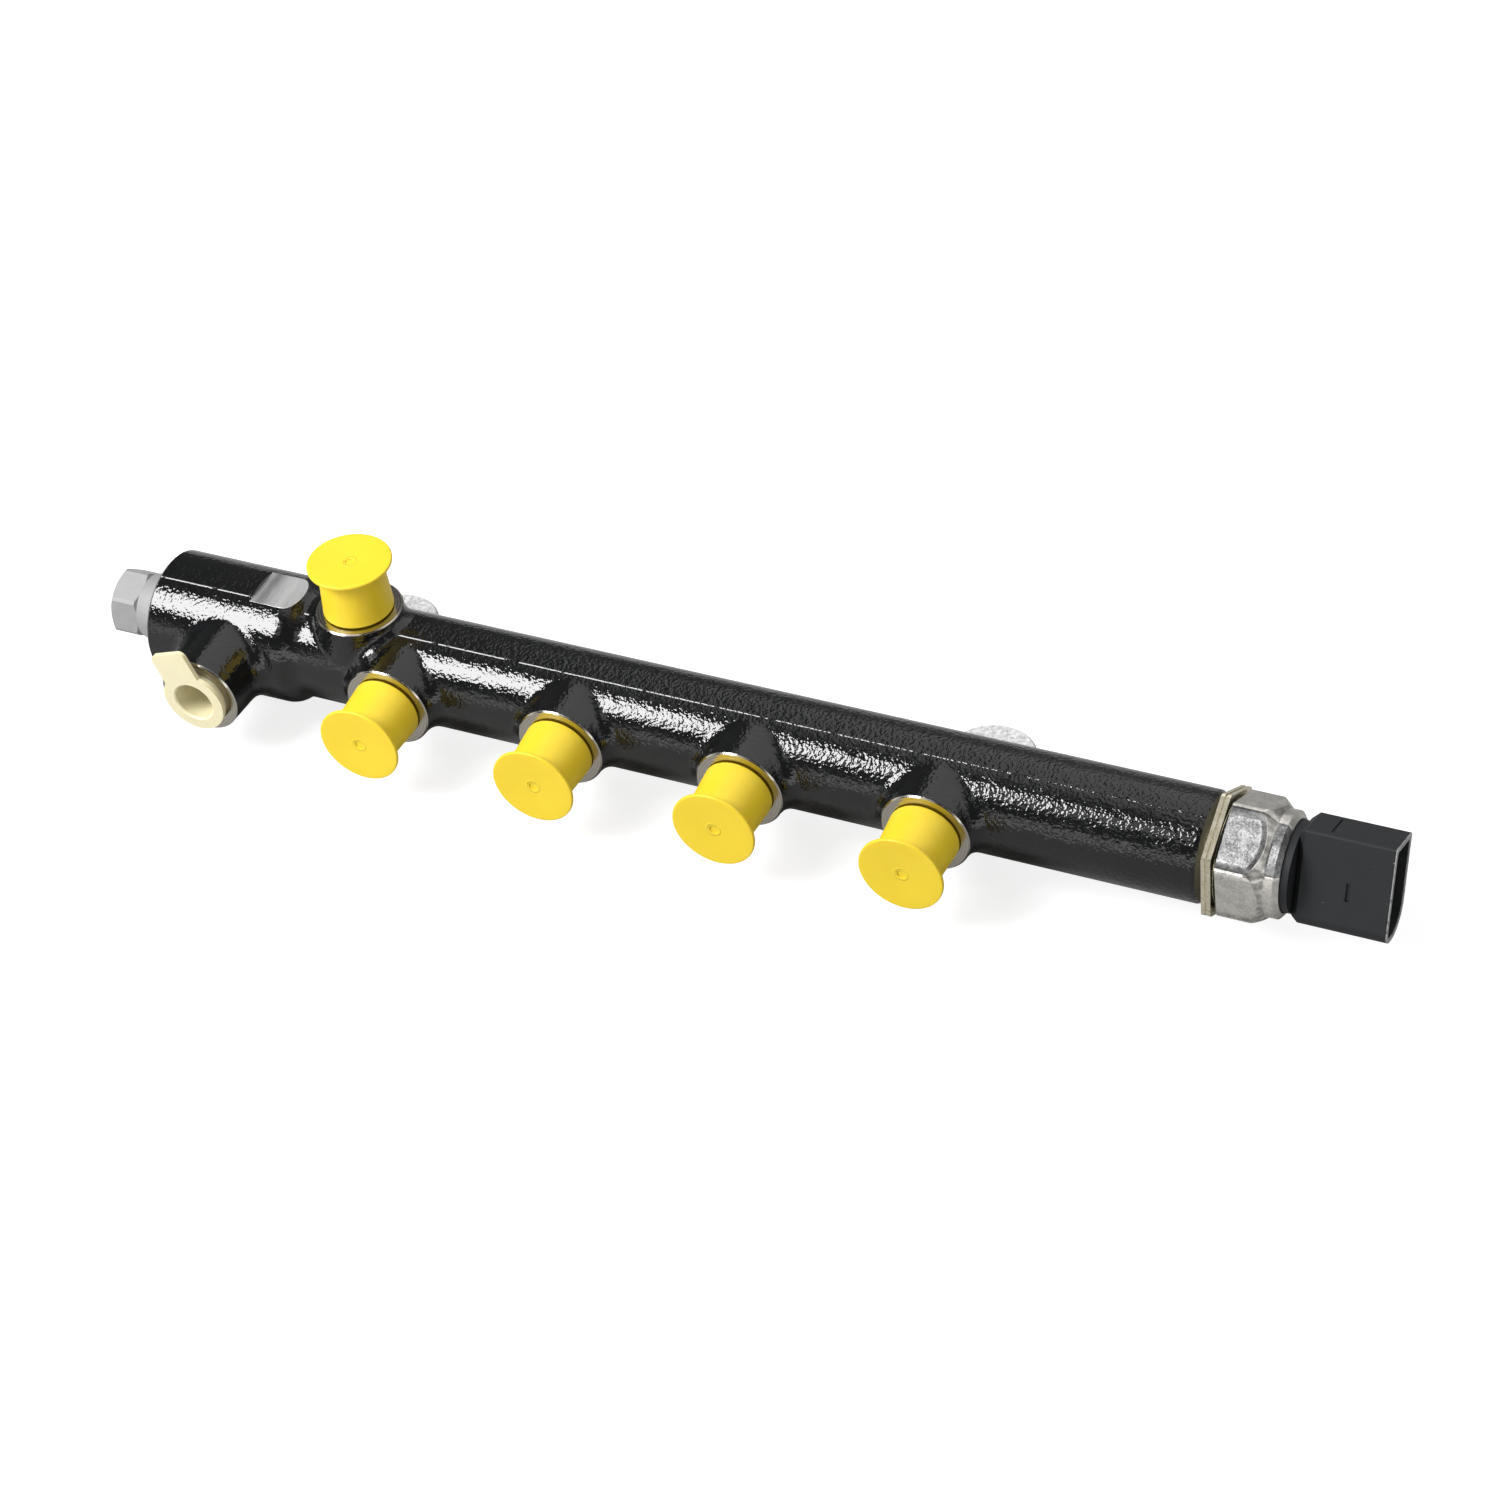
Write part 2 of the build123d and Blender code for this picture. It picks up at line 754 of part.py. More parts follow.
pieces = {
    "rail_body": rail_body(),
    "inlet_cap": transport_cap(inlet_x, UP),
    "return_port_plug": return_port_plug(),
    "relief_valve_body": relief_valve_body(),
    "relief_valve_o_ring": relief_valve_o_ring(),
    "relief_valve_seat": relief_valve_seat(),
    "relief_valve_piston": relief_valve_piston(),
    "relief_valve_spring": relief_valve_spring(),
    "relief_valve_shim": relief_valve_shim(),
    "sensor_port": sensor_port(),
    "sensor_pressure_cell": sensor_pressure_cell(),
    "sensor_shell": sensor_shell(),
    "sensor_board_carrier": sensor_board_carrier(),
    "sensor_circuit_board": sensor_circuit_board(),
    "sensor_seal_ring": sensor_seal_ring(),
    "sensor_connector": sensor_connector(),
}
for i, x in enumerate(outlet_xs):
    pieces[f"outlet_cap_{i + 1}"] = transport_cap(x, FRONT)
for i in range(pin_count):
    pieces[f"sensor_contact_pin_{i + 1}"] = contact_pin(i)

os.makedirs("parts", exist_ok=True)
for name, piece in pieces.items():
    export_step(TO_SEAT * piece, f"parts/{name}.step")
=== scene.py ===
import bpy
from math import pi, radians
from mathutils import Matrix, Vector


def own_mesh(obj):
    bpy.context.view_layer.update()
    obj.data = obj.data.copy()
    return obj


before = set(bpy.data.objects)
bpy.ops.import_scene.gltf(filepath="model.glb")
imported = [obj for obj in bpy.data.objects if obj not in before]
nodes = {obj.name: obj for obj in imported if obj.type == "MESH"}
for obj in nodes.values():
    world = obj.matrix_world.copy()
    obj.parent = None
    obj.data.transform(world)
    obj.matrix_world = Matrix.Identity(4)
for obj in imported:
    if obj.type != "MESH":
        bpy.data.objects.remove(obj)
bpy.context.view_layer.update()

# %% [markdown]
# A fuel rail is a thick forged tube that stores diesel fuel under high pressure for four
# injectors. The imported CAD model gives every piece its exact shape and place, so this script only
# dresses it: a camera, light, and one finish for each kind of surface. Modelling the pieces again
# here would only give a second, slightly different rail. Places are written in millimetres in the
# rail's own frame, where they can be compared with the CAD sizes, and are turned into metres
# where Blender needs them.

scene = bpy.context.scene
MM = 0.001
AXIS_Y = -19.5
AXIS_Z = 20.5
print("pieces from CAD:", len(nodes))

# %% [markdown]
# The camera stands in front of the rail, to its right and above it. Its place came from fitting
# the circles of the five caps and the straight edges of the tube in the photograph. The fit also
# found a small roll, so the camera's own three directions are written out. A look-at constraint
# would be shorter, but it would lose the roll.

# %% Camera
CAMERA_PLACE = Vector((0.38205, -0.64067, 0.65056))
RIGHT = Vector((0.90503, 0.41307, -0.10151))
UPWARD = Vector((-0.20773, 0.63746, 0.74195))
BACKWARD = Vector((0.37118, -0.65039, 0.66273))


def turned_to(along, across, away):
    """The turn of an object whose own X, Y and Z lie along three directions."""
    return Matrix((along, across, away)).transposed().to_4x4()


lens = bpy.data.cameras.new("camera")
lens.lens = 94.95
lens.sensor_width = 36.0
lens.clip_start = 0.01
camera = bpy.data.objects.new("camera", lens)
scene.collection.objects.link(camera)
camera.matrix_world = Matrix.Translation(CAMERA_PLACE) @ turned_to(RIGHT, UPWARD, BACKWARD)
scene.camera = camera
print("camera distance from the origin:", round(camera.location.length, 3), "m")

# %% [markdown]
# Shader maths reads best as plain arithmetic. The class below wraps one output socket, and each
# operator adds the Math node that does it. The reflected forms let a number stand first, so the
# painted share of a surface is simply 1 - bare. Adding the same nodes one by one would take
# several lines for each sign.

# %% Arithmetic on sockets
class Flow:
    """One output socket, with the operators that build Math nodes."""

    def __init__(self, shading, socket):
        self.shading = shading
        self.socket = socket

    def math(self, operation, *values):
        settings = {"operation": operation}
        return self.shading.node("ShaderNodeMath", settings, dict(enumerate(values)))

    def __add__(self, other):
        return self.math("ADD", self, other)

    def __radd__(self, other):
        return self.math("ADD", other, self)

    def __sub__(self, other):
        return self.math("SUBTRACT", self, other)

    def __rsub__(self, other):
        return self.math("SUBTRACT", other, self)

    def __mul__(self, other):
        return self.math("MULTIPLY", self, other)

    def __rmul__(self, other):
        return self.math("MULTIPLY", other, self)

    def __mod__(self, other):
        return self.math("FLOORED_MODULO", self, other)

    def __gt__(self, other):
        return self.math("GREATER_THAN", self, other)

    def __lt__(self, other):
        return self.math("LESS_THAN", self, other)

    def __or__(self, other):
        return self.math("MAXIMUM", self, other)

    def __abs__(self):
        return self.math("ABSOLUTE", self)

    def length_with(self, other):
        return self.math("SQRT", self * self + other * other)

    def angle_from(self, other):
        return self.math("ARCTAN2", self, other)

    def sine(self):
        return self.math("SINE", self)


def tell(kind):
    """Prints what a class can do."""
    able = [name.strip("_") for name, item in vars(kind).items() if callable(item)]
    print(kind.__name__, "has", ", ".join(able))


tell(Flow)

# %% [markdown]
# A material and the world are both node trees. One method adds any node: it sets the node's type
# first, then its settings, then the values or links of its sockets, because some settings decide
# which sockets there are. The step is a shortcut for the node used most, an eased change from one
# value to another.

# %% Any node of a tree
class Shading:
    """A node tree, with the one method that adds any node."""

    def __init__(self, tree):
        self.tree = tree

    def node(self, kind, settings, inputs, output=0):
        made = self.tree.nodes.new(kind)
        for key, value in settings.items():
            setattr(made, key, value)
        for key, value in inputs.items():
            if isinstance(value, Flow):
                self.tree.links.new(value.socket, made.inputs[key])
            else:
                made.inputs[key].default_value = value
        return Flow(self, made.outputs[output])

    def step(self, value, start, end, low=0.0, high=1.0):
        """Eases from low to high as the value goes from start to end."""
        settings = {"interpolation_type": "SMOOTHSTEP"}
        inputs = {"Value": value, "From Min": start, "From Max": end, "To Min": low, "To Max": high}
        return self.node("ShaderNodeMapRange", settings, inputs)


tell(Shading)

# %% [markdown]
# A finish is a material with what every surface here needs: its place in millimetres, noise of a
# given grain, a blend of two colours, and a bump whose depth is given in millimetres. Object
# coordinates are used because the CAD pieces share the rail's frame, so patterns stay fixed to
# the metal. Generated coordinates would stretch them to the box of each piece.

# %% Finishes in millimetres
class Finish(Shading):
    """A procedural material with one Principled shader, its places in millimetres."""

    def __init__(self, name, **constants):
        self.material = bpy.data.materials.new(name)
        self.material.use_nodes = True
        super().__init__(self.material.node_tree)
        self.shader = self.tree.nodes["Principled BSDF"]
        for socket, value in constants.items():
            self.shader.inputs[socket.replace("_", " ")].default_value = value
        metres = self.node("ShaderNodeTexCoord", {}, {}, "Object")
        scaled = {0: metres, "Scale": 1 / MM}
        self.place = self.node("ShaderNodeVectorMath", {"operation": "SCALE"}, scaled)
        parts = (self.node("ShaderNodeSeparateXYZ", {}, {0: self.place}, axis) for axis in "XYZ")
        self.x, y, z = parts
        self.back = y - AXIS_Y
        self.rise = z - AXIS_Z
        self.depth_of_axis = self.back.length_with(self.rise)

    def noise(self, grain, detail=2.0, stretch=(1, 1, 1), roughness=0.5):
        """Noise with grains of about that many millimetres."""
        stretched = {0: self.place, 1: stretch}
        place = self.node("ShaderNodeVectorMath", {"operation": "MULTIPLY"}, stretched)
        inputs = {"Vector": place, "Scale": 1 / grain, "Detail": detail, "Roughness": roughness}
        return self.node("ShaderNodeTexNoise", {}, inputs)

    def blend(self, share, first, second):
        """A colour between two colours."""
        inputs = {0: share, 6: first, 7: second}
        return self.node("ShaderNodeMix", {"data_type": "RGBA"}, inputs, 2)

    def bump(self, height, depth=1.0, under=None):
        """A bumped normal for a height that is worth that many millimetres."""
        inputs = {"Strength": 1.0, "Distance": depth * MM, "Height": height}
        if under is not None:
            inputs["Normal"] = under
        return self.node("ShaderNodeBump", {}, inputs)

    def set(self, **flows):
        for socket, flow in flows.items():
            self.tree.links.new(flow.socket, self.shader.inputs[socket.replace("_", " ")])


tell(Finish)

# %% [markdown]
# A CAD piece keeps its mesh and takes its look through its own material slots. Most colours on a
# fuel rail are greys with a slight cast, so they are written as one value and a tint.

# %% Dressing a piece, and greys
def dress(names, finish):
    """Gives CAD pieces a finish through their own material slots."""
    for name in names:
        nodes[name].data.materials.clear()
        nodes[name].data.materials.append(finish.material)
    print(finish.material.name, "on", ", ".join(names))


def grey(value, tint=(1.0, 1.0, 1.0)):
    """A grey, or a grey with a cast."""
    return (value * tint[0], value * tint[1], value * tint[2], 1.0)


print("a middle grey:", grey(0.5))

# %% [markdown]
# The rail carries four outlets at one pitch, an inlet on top and a return port in the head. Their
# places come from the CAD model, measured along the rail (x), behind its axis (back) and above
# its axis (rise). They are written once here, since both the forging and its caps draw circles
# round them.

# %% Places on the forging
FIRST_OUTLET = -63.5
OUTLET_PITCH = 48.0
INLET = -77.6
RETURN = -111.5
SHOULDER = -95.0
VALVE_END = -133.35
SENSOR_END = 145.6
FLAT_RISE, FLAT_FROM, FLAT_TO = 15.0, -105.95, -91.0
LUG_FRONT, LUG_TOP, LUG_SEAT = 15.5, -6.5, -20.0
BOLT_X, BOLT_BACK, BOLT_RADIUS = 82.0, 19.5, 4.6
OUTLET_FACE, RETURN_FACE, INLET_FACE, INLET_SIDE = -16.3, -27.0, 15.3, -90.5
RETURN_BORE, RETURN_BOTTOM = 6.9, -16.0


def from_outlet(finish):
    """The distance from the axis of the nearest outlet."""
    along = (finish.x - FIRST_OUTLET + OUTLET_PITCH / 2) % OUTLET_PITCH - OUTLET_PITCH / 2
    return along.length_with(finish.rise)


def from_inlet(finish):
    """The distance from the axis of the inlet."""
    return (finish.x - INLET).length_with(finish.back)


print("outlets at", [FIRST_OUTLET + i * OUTLET_PITCH for i in range(4)])

# %% [markdown]
# The rail is painted gloss black over the rough skin of the forging. The faces that were machined
# afterwards are bare: the rings round the ports, the return bore, the datum flat on the head,
# both ends, and the tops, seats and bores of the lugs. The body is one solid, so one material
# paints it, with masks measured from the rail's axis. A material for each face would need the
# mesh to be cut up.

# %% Which faces of the forging are bare
rail = Finish("black_paint_on_forging", IOR=1.52)
on_head = rail.x < SHOULDER
on_tube = 1 - on_head
from_return = (rail.x - RETURN).length_with(rail.rise)
flat = (abs(rail.rise - FLAT_RISE) < 0.04) * (rail.x < FLAT_TO) * (rail.x > FLAT_FROM)
lug_side = (rail.back > LUG_FRONT) * on_tube
lug_faces = lug_side * ((rail.rise > LUG_TOP) | (rail.rise < LUG_SEAT))
from_bolt = (abs(rail.x) - BOLT_X).length_with(rail.back - BOLT_BACK)
bolt_holes = lug_side * (from_bolt < BOLT_RADIUS)
sensor_end = rail.x > SENSOR_END
bare_faces = {
    "outlet rings": (rail.back < OUTLET_FACE) * on_tube,
    "return ring": rail.back < RETURN_FACE,
    "return bore": (from_return < RETURN_BORE) * (rail.back < RETURN_BOTTOM) * on_head,
    "inlet ring": (rail.rise > INLET_FACE) * (rail.x > INLET_SIDE),
    "datum flat": flat,
    "valve end": rail.x < VALVE_END,
    "sensor end": sensor_end,
    "lug faces": lug_faces,
    "bolt holes": bolt_holes,
}
bare = rail.x * 0
for face in bare_faces.values():
    bare = bare | face
print("bare faces:", ", ".join(bare_faces))

# %% [markdown]
# The paint follows every dimple of the shot-blasted forging, so its highlights break up into
# sparks about a millimetre across. That skin is the sum of three grains: dimples, a hammered
# middle grain and slow swells. It is a little deeper towards the sensor. Bump does this well
# because the relief is only hundredths of a millimetre deep and never shows on the outline.

# %% Skin under the paint
dimples = rail.noise(0.85, detail=1.0)
hammered = rail.noise(1.9, detail=1.0)
swells = rail.noise(8.0, detail=1.0)
deeper = rail.step(rail.x, -125.0, 110.0, 0.75, 1.15)
skin = (dimples * 0.14 + hammered * 0.08 + swells * 0.08) * deeper
print("nodes for masks and skin:", len(rail.tree.nodes))

# %% [markdown]
# A forging keeps a low ridge where the two halves of its die met. Ground down and painted over,
# it still catches the light as a thin broken line along the tube and the head. It is drawn as
# bump at its angle round the axis, worn away in patches. As geometry, a ridge that low would need
# the mesh of the body to be cut along its whole length.

# %% Parting line and paint
PARTING_ANGLE = radians(74.0)
PARTING_HEIGHT = 0.135
OVER_TUBE, OVER_HEAD = 13.8, 2.5
from_front = rail.rise.angle_from(0 - rail.back)
off_line = abs((from_front - PARTING_ANGLE) * rail.depth_of_axis)
on_bar = rail.depth_of_axis < OVER_TUBE + OVER_HEAD * on_head
patches = rail.step(rail.noise(2.2, 3.0), 0.30, 0.46)
parting_line = rail.step(off_line, 0.05, 0.50, 1.0, 0.0) * on_bar * patches * PARTING_HEIGHT
painted_skin = rail.bump((skin + parting_line) * (1 - bare))
dark_paint, light_paint = grey(0.003, (0.9, 1.0, 1.05)), grey(0.008, (0.95, 1.0, 1.05))
black = rail.blend(rail.noise(9.0, 4.0), dark_paint, light_paint)
haze = 0.03 + 0.05 * rail.noise(5.0, 3.0)
print("parting line:", PARTING_HEIGHT, "mm high at most")

# %% [markdown]
# The bare rings and ends are turned, so fine circles run round the middle of each. The circles
# are the sine of the distance from that middle, so the one expression serves every face.

# %% Turned circles
WAVES = 9.0
from_centre = {
    "outlet rings": from_outlet(rail),
    "return ring": from_return,
    "inlet ring": from_inlet(rail),
    "valve end": rail.depth_of_axis,
    "sensor end": rail.depth_of_axis,
}
distance = rail.x * 0
for face, radius in from_centre.items():
    distance = distance | (bare_faces[face] * radius)
circles = (distance * WAVES).sine() * 0.5 + 0.5
turned = rail.noise(0.3, 3.0) * 0.6 + circles * 0.4
print("turning marks", round(2 * pi / WAVES, 2), "mm apart")

# %% [markdown]
# The datum flat was milled across, which leaves fine straight marks. Its broad light and dark
# bands, and one dark band across it, are painted reflection: a soft sheen put into its colour.
# The lugs keep the grey mottle of a cleaned casting. Noise stretched along one axis gives the
# straight marks and the painted bands, and plain noise with a rough spectrum gives the mottle.

# %% Milled flat with painted sheen, and mottled lugs
DARK_BAND = -103.6
# broad bands of painted sheen, light and dark, across the flat
long_marks = rail.noise(3.0, 2.0, stretch=(1.0, 0.08, 1.0))
short_marks = rail.noise(0.3, 2.0, stretch=(1.0, 0.1, 1.0))
across = long_marks * 0.6 + short_marks * 0.4
# painted dark reflection: one dark band across the flat, put into its colour
sweep = rail.step(abs(rail.x - DARK_BAND), 0.2, 2.4)
milled = rail.step(across, 0.3, 0.7) * 0.45 + sweep * 0.55
mottle = rail.step(rail.noise(1.1, 4.0, roughness=0.7), 0.32, 0.68)
on_lug = lug_faces | bolt_holes
marks = turned * (1 - flat) * (1 - on_lug) + milled * flat + mottle * on_lug
print("dark band of the flat at x =", DARK_BAND)

# %% [markdown]
# Turned steel is a grey with a warm cast, and that warm, darker tone is partly painted
# reflection of the yellow caps and plug. The flat and the lugs are cleaned to a lighter grey, and
# the end that the sensor is screwed against keeps an olive scale. One material joins them,
# because paint and steel differ only in colour, metal, roughness and bump.

# %% Black rail with bare steel
OLIVE_SCALE = (0.10, 0.092, 0.066, 1.0)
# partly painted reflection: the warm cast of the turned steel stands for the yellow caps it mirrors
turned_steel = rail.blend(marks, grey(0.30, (1, 0.93, 0.80)), grey(0.60, (1, 0.95, 0.86)))
cleaned = rail.blend(marks, grey(0.48), grey(0.86))
machined = rail.blend(flat | on_lug, turned_steel, cleaned)
steel = rail.blend(sensor_end, machined, OLIVE_SCALE)
steel_haze = 0.10 + 0.12 * marks + 0.25 * (on_lug | flat) + 0.4 * sensor_end
rail.set(
    Base_Color=rail.blend(bare, black, steel),
    Metallic=bare * (1 - 0.6 * on_lug),
    Roughness=(1 - bare) * haze + bare * steel_haze,
    Normal=rail.bump(marks * bare, 0.012, painted_skin),
)
dress(["rail_body"], rail)

# %% [markdown]
# The transport caps and the plug are moulded in soft polyethylene. A little light goes into such
# plastic, so its shaded side stays warm, which subsurface scattering gives. Clouds of colour and
# a fine grain in the gloss keep it from looking like paint.

# %% Soft plastic
def soft_plastic(name, light, dark, haze):
    """A finish of soft moulded plastic, with clouds of colour and a fine grain."""
    plastic = Finish(name, IOR=1.5, Subsurface_Weight=0.12, Subsurface_Scale=0.002)
    plastic.shader.inputs["Subsurface Radius"].default_value = (1.0, 0.6, 0.15)
    clouds = plastic.noise(6.0, 3.0)
    grain = plastic.noise(0.5, 3.0)
    plastic.set(
        Base_Color=plastic.blend(clouds, light, dark),
        Roughness=haze + 0.12 * grain,
    )
    plastic.grain = plastic.bump(grain * 0.6 + clouds * 0.4, 0.035)
    return plastic


yellow = soft_plastic("yellow_polyethylene", (0.80, 0.60, 0.026, 1), (0.76, 0.54, 0.018, 1), 0.38)
ivory = soft_plastic("ivory_polyethylene", (0.71, 0.66, 0.45, 1), (0.66, 0.60, 0.38, 1), 0.36)
ivory.set(Normal=ivory.grain)
dress(["return_port_plug"], ivory)

# %% [markdown]
# Round the gate in the middle of each cap's disc the mould left a small ring and faint flow
# circles. They are drawn as bump from the distance to the cap's own axis, which is upright on the
# inlet and level on the outlets. They are far too shallow to be worth geometry.

# %% Gate marks of the caps
INLET_CAP_RISE = 17.0
GATE_RING = 1.7
upright = yellow.rise > INLET_CAP_RISE
from_gate = upright * from_inlet(yellow) + (1 - upright) * from_outlet(yellow)
ring = yellow.step(abs(from_gate - GATE_RING), 0.1, 0.35, 1.0, 0.0)
flow_circles = (from_gate * 3.1).sine() * yellow.step(from_gate, 2.0, 9.0, 1.0, 0.0)
yellow.set(Normal=yellow.bump(ring * 0.12 + flow_circles * 0.004, 1.0, yellow.grain))
dress(["inlet_cap"] + [f"outlet_cap_{i}" for i in (1, 2, 3, 4)], yellow)

# %% [markdown]
# The sensor's shell is drawn from sheet and nickel plated. Drawing leaves round edges between the
# flats and along the cone beyond them, and these catch the light as bright and dark lines. The
# CAD model keeps these edges crisp, so the rounding is a bump here, measured from the middle of
# each flat. Fillets would be truer on the outline, but a CAD mesh isn't changed in this script.

# %% Round edges of the shell
FLAT_CORNER = radians(92.0)
CONE_START, CONE_END = 158.8, 161.7
CONE_RADIUS, CONE_SLOPE = 15.25, 2.45 / 2.9
nickel = Finish("drawn_nickel_shell", Metallic=1.0)
turn = nickel.rise.angle_from(nickel.back)
around = (turn - FLAT_CORNER) % (pi / 3) - pi / 6
beside = abs(around.sine() * nickel.depth_of_axis)
before_end = nickel.x < CONE_END
under_cone = CONE_RADIUS - (nickel.x - CONE_START) * CONE_SLOPE - nickel.depth_of_axis
to_corner = nickel.step(beside, 5.4, 8.6) * 0.9
to_cone = nickel.step(under_cone, 0.0, 1.3, 1.0, 0.0) * before_end * 0.28
rounding = nickel.bump(0 - to_corner - to_cone)
print("cone from", CONE_START, "to", CONE_END, "mm")

# %% [markdown]
# The skin of the sheet differs from flat to flat. The front flat is coloured darker, with a dark
# and light grain, and the others paler. Darker lines along the round edges are painted reflection
# of the black connector, and streaks over the cone are painted reflection of a dark side of the
# room. A few dark specks are scattered over all.

# %% Nickel skin, specks and painted dark reflections
sheet = nickel.noise(0.55, 4.0, roughness=0.7)
clouds = nickel.noise(2.4, 3.0)
on_cone = nickel.step(under_cone, 0.05, 0.3, 1.0, 0.0) * before_end
on_front_flat = (turn > FLAT_CORNER) * (turn < FLAT_CORNER + pi / 3) * (1 - on_cone)
pickled = nickel.step(clouds * 0.4 + sheet * 0.6, 0.38, 0.62)
smooth = nickel.blend(pickled, (0.58, 0.56, 0.52, 1), (0.80, 0.78, 0.72, 1))
rough = nickel.blend(pickled, grey(0.17), grey(0.44))
clean = nickel.blend(on_front_flat, smooth, rough)
specks = nickel.step(nickel.noise(0.8, 3.0, roughness=0.75), 0.60, 0.68)
# painted dark reflection along the round edges between the flats
edge_dirt = nickel.step(beside, 6.1, 6.9) * nickel.step(nickel.noise(1.6, 3.0), 0.46, 0.64)
# painted dark reflection in streaks over the cone
streaks = on_cone * nickel.step(nickel.noise(1.8, 3.0, stretch=(0.4, 1, 1)), 0.38, 0.58)
dirt = (specks * 0.5) | (edge_dirt * 0.4) | (streaks * 0.5)
nickel.set(
    Base_Color=nickel.blend(dirt, clean, (0.12, 0.115, 0.11, 1)),
    Roughness=0.24 + 0.14 * sheet + 0.08 * clouds,
    Normal=nickel.bump(sheet * 0.035 + clouds * 0.06, 1.0, rounding),
)
dress(["sensor_shell"], nickel)

# %% [markdown]
# The other metal pieces differ by how they were made, so one function takes the two greys, the
# size and stretch of the grain, how hazy the polish is and how deep the marks are. Dirt adds dark
# specks, and between two places along the rail a dark ring of painted shade stands for a groove.

# %% Bare metal
def metal(name, light, dark, grain, haze, depth, stretch=(1, 1, 1), dirt=0.0, groove=(0.0, 0.0)):
    """A finish of bare metal: grain along its making, slow clouds, dark specks and painted groove
    shade.
    """
    surface = Finish(name, Metallic=1.0)
    fine = surface.noise(grain, 4.0, stretch)
    clouds = surface.noise(8 * grain, 4.0, roughness=0.65)
    speck = surface.step(surface.noise(0.9, 3.0, roughness=0.7), 0.58, 0.66) * dirt
    # painted shade: a dark ring between two places along the rail stands for a groove
    speck = speck | (surface.x > groove[0]) * (surface.x < groove[1])
    worn = surface.blend(surface.step(clouds * 0.6 + fine * 0.4, 0.3, 0.7), dark, light)
    surface.set(
        Base_Color=surface.blend(speck, worn, grey(0.05)),
        Roughness=haze + 0.10 * fine + 0.10 * clouds + 0.3 * speck,
        Normal=surface.bump(fine * 0.6 + clouds * 0.8, depth),
    )
    return surface


milled_bar = metal(
    "milled_steel", grey(0.46, (1, 0.98, 1)), grey(0.40), grain=0.35, haze=0.70, depth=0.008
)
dress(["relief_valve_body"], milled_bar)

# %% [markdown]
# The sensor's hexagonal plate has a pale gold zinc finish, with specks of dirt in its pores and
# painted shade in a dark ring for the groove round its rim. Its grain is stretched across the rail,
# as turning leaves it.

# %% Zinc plate
# painted shade of the groove round the plate's rim
PLATE_GROOVE = (149.95, 150.8)
zinc = metal(
    "pale_gold_zinc", (0.88, 0.83, 0.67, 1), (0.72, 0.65, 0.47, 1),
    grain=0.3, haze=0.12, depth=0.03, stretch=(1.0, 0.2, 0.2), dirt=0.45, groove=PLATE_GROOVE,
)
dress(["sensor_port"], zinc)

# %% [markdown]
# Inside the rail are ground and hardened steel and spring wire, and in the connector's mouth are
# the brass blades of the contacts. Ground steel and drawn blades get a grain along their length.

# %% Hardened steel, wire and brass
LENGTHWISE = (0.1, 1, 1)
hardened = metal(
    "hardened_steel", grey(0.55), grey(0.42), grain=0.2, haze=0.16, depth=0.01, stretch=LENGTHWISE
)
valve_parts = [f"relief_valve_{part}" for part in ("seat", "piston", "shim")]
dress(valve_parts + ["sensor_pressure_cell"], hardened)
wire = metal("spring_wire", grey(0.36), grey(0.25), grain=0.2, haze=0.24, depth=0.01)
dress(["relief_valve_spring"], wire)
brass = metal(
    "brass_blade", (0.80, 0.62, 0.30, 1), (0.70, 0.52, 0.24, 1),
    grain=0.2, haze=0.20, depth=0.01, stretch=LENGTHWISE,
)
dress([f"sensor_contact_pin_{i}" for i in (1, 2, 3)], brass)

# %% [markdown] When the relief valve opens, its piston slides back and presses the spring
# together against the shim. Here the spring only gets a mesh of its own and is not shortened,
# so the piston would cut into its coils.

# %% Spring with a mesh of its own
spring = nodes["relief_valve_spring"]
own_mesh(spring)

# %% [markdown]
# The connector is black glass-filled nylon: an even, very fine grain from the eroded mould, pale
# dust in a few pores, and a painted highlight on the rim of the mouth, where its edge catches the
# light. Its greys have a cold cast, which tells it from the rubber of the seals.

# %% Nylon connector
MOUTH = 189.5
BLUISH = (0.92, 1.0, 1.10)


def moulded(name, light, dark, grain, haze, depth, rim=0.0, index=1.5):
    """A finish of dull moulded plastic or rubber, with dust and a painted rim highlight by the
    given share.
    """
    plastic = Finish(name, IOR=index)
    fine = plastic.noise(grain, 3.0)
    clouds = plastic.noise(5.0, 3.0)
    dust = plastic.step(plastic.noise(0.6, 2.0, roughness=0.6), 0.73, 0.79) * rim
    # painted highlight on the rim of the connector's mouth, where the edge catches the light
    rubbed = (plastic.x > MOUTH) * plastic.step(plastic.noise(1.2, 3.0), 0.25, 0.5) * rim
    body = plastic.blend(clouds * 0.6 + fine * 0.4, dark, light)
    plastic.set(
        Base_Color=plastic.blend(dust | rubbed, body, grey(0.42)),
        Roughness=haze + 0.15 * fine,
        Normal=plastic.bump(fine, depth),
    )
    return plastic


nylon = moulded(
    "black_nylon", grey(0.021, BLUISH), grey(0.013, BLUISH),
    grain=0.22, haze=0.46, depth=0.03, rim=0.8, index=1.38,
)
dress(["sensor_connector"], nylon)

# %% [markdown]
# Rubber rings, the carrier and the circuit board lie inside the valve and the sensor. They are
# dressed as plainly as the real ones are, so that the part stays true when it is taken apart.

